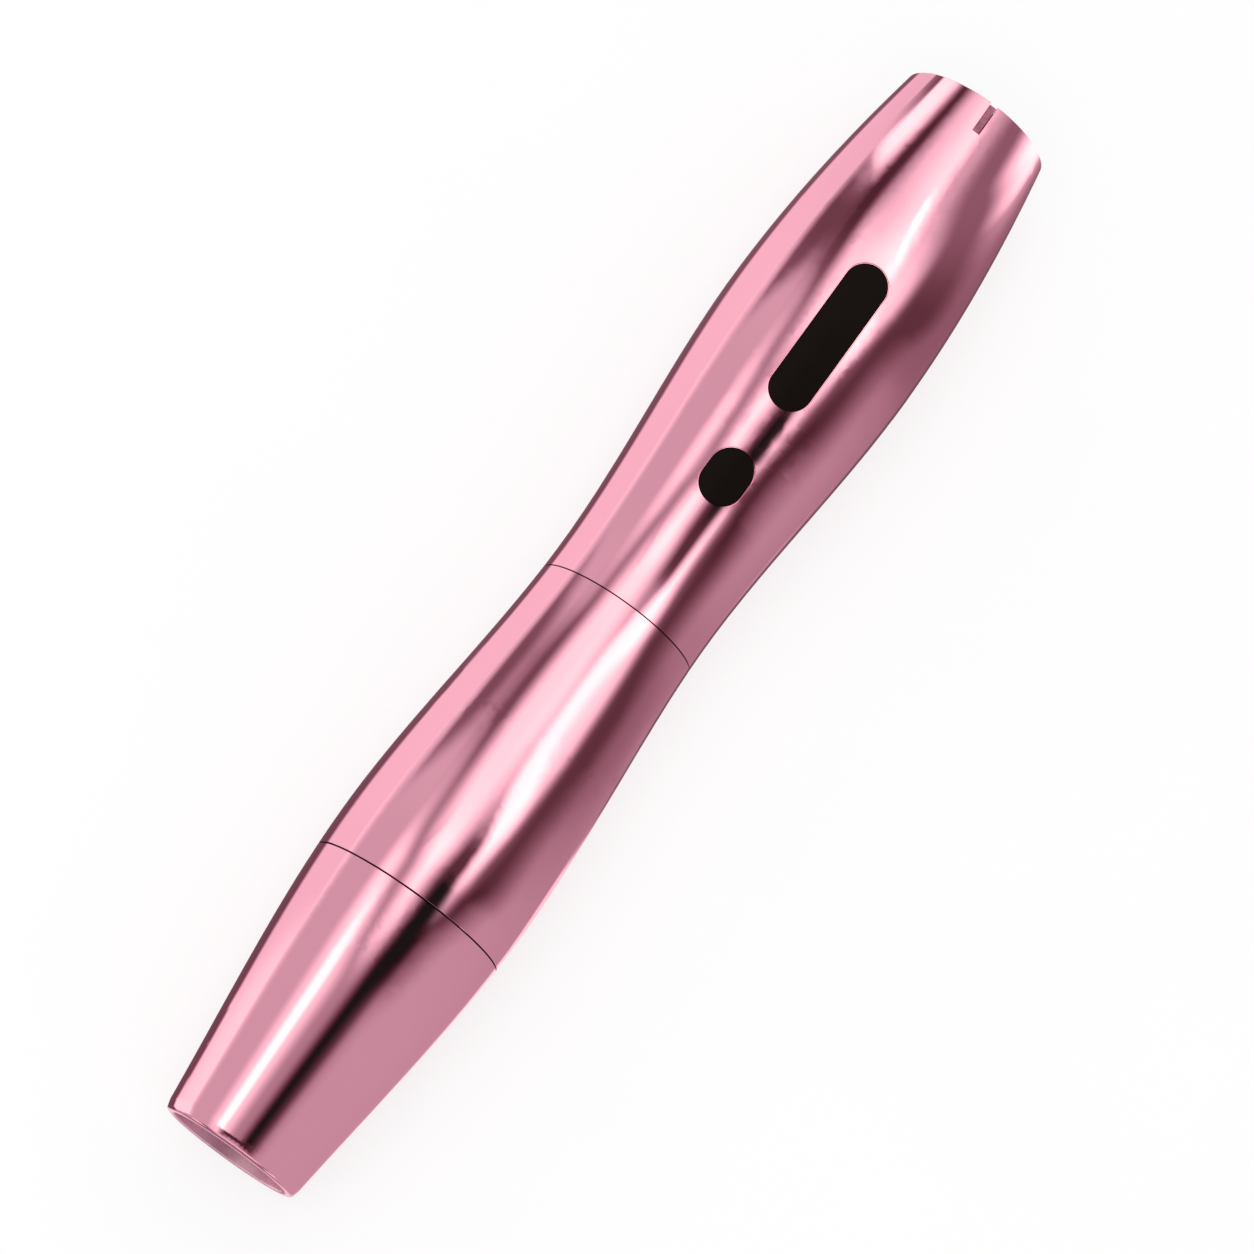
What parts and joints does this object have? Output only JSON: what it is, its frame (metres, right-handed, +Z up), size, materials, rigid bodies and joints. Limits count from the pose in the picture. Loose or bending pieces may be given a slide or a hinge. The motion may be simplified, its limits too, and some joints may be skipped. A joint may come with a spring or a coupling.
{
  "type": "tattoo machine",
  "caption": "Pen-shaped wireless rotary tattoo machine: waisted polished body, turning depth-adjust grip, display, power button and pull-out battery.",
  "frame": {"origin": "middle of the pen's length, on the surface it lies on", "axes": "+X along the pen from the needle end to the tail, +Z up through the display and the button"},
  "size_m": [0.145, 0.0242, 0.0243],
  "materials": {
    "pink_metal": "mirror-polished rose anodised",
    "plug_metal": "satin rose anodised",
    "gloss_black": "gloss",
    "bare_aluminium": "turned",
    "bright_steel": "ground",
    "brass": "turned",
    "copper_winding": "enamelled wire",
    "dark_magnet": "nickel plated",
    "black_plastic": "moulded",
    "green_board": "solder mask",
    "tan_ceramic": "fired",
    "amber_film": "film",
    "display_glass": "gloss",
    "cell_wrap": "shrink-wrapped can",
    "sleeve_wrap": "satin",
    "black_rubber": "moulded"
  },
  "bodies": {
    "machine": {"front_housing": "bare_aluminium", "grip_clip": "bright_steel", "spigot_ring": "black_rubber", "plunger_bush": "brass", "motor_mount": "bare_aluminium", "motor_screws": "bright_steel", "motor_can": "bright_steel", "motor_end_cap": "black_plastic", "motor_bearings": "bright_steel", "motor_stator": "copper_winding", "middle_shell": "pink_metal", "coupling_sleeve": "bare_aluminium", "tail_shell": "pink_metal", "electronics_carrier": "black_plastic", "main_board": "green_board", "board_screws": "bright_steel", "driver_chip": "black_plastic", "capacitors": "tan_ceramic", "tactile_switch": "black_plastic", "battery_tube": "black_plastic", "display_board": "green_board", "board_ribbon": "amber_film", "display_holder": "black_plastic", "display_module": "display_glass", "display_window": "gloss_black", "contact_pins": "brass"},
    "grip": {"nose_grip": "pink_metal", "adjuster_ring": "brass"},
    "needle_tube": {"needle_tube": "bright_steel", "adjuster_pin": "bright_steel", "cartridge_ring": "black_rubber"},
    "plunger": {"plunger": "bright_steel", "plunger_foot": "bright_steel", "follower": "bright_steel"},
    "rotor": {"motor_shaft": "bright_steel", "rotor_magnet": "dark_magnet", "swash_hub": "brass", "swash_bearing": "bright_steel", "hub_screw": "bright_steel"},
    "button": {"power_button": "gloss_black"},
    "battery": {"pack_contacts": "green_board", "battery_cell": "cell_wrap", "pack_sleeve": "sleeve_wrap", "charging_board": "green_board", "pack_end_plug": "plug_metal", "pack_seal": "black_rubber", "charging_port": "bright_steel", "charging_tongue": "black_plastic"}
  },
  "joints": [
    {"name": "adjuster_turn", "type": "hinge", "parent": "machine", "child": "grip", "pos_m": [0, 0, 0.01215], "axis": [1, 0, 0], "range_deg": [0, 360]},
    {"name": "needle_tube_slide", "type": "slide", "parent": "machine", "child": "needle_tube", "axis": [-1, 0, 0], "range_m": [0, 0.0035]},
    {"name": "plunger_stroke", "type": "slide", "parent": "machine", "child": "plunger", "axis": [-1, 0, 0], "range_m": [-0.0035, 0]},
    {"name": "motor_spin", "type": "hinge", "parent": "machine", "child": "rotor", "pos_m": [0, 0, 0.01215], "axis": [1, 0, 0], "continuous": true},
    {"name": "button_press", "type": "slide", "parent": "machine", "child": "button", "axis": [0, 0, -1], "range_m": [0, 0.0004], "stiffness_N_per_m": 4000},
    {"name": "battery_slide", "type": "slide", "parent": "machine", "child": "battery", "axis": [1, 0, 0], "range_m": [0, 0.052]}
  ],
  "couplings": [
    {"joint": "adjuster_turn", "follows": "needle_tube_slide", "rad_per_m": 1795.2}
  ]
}
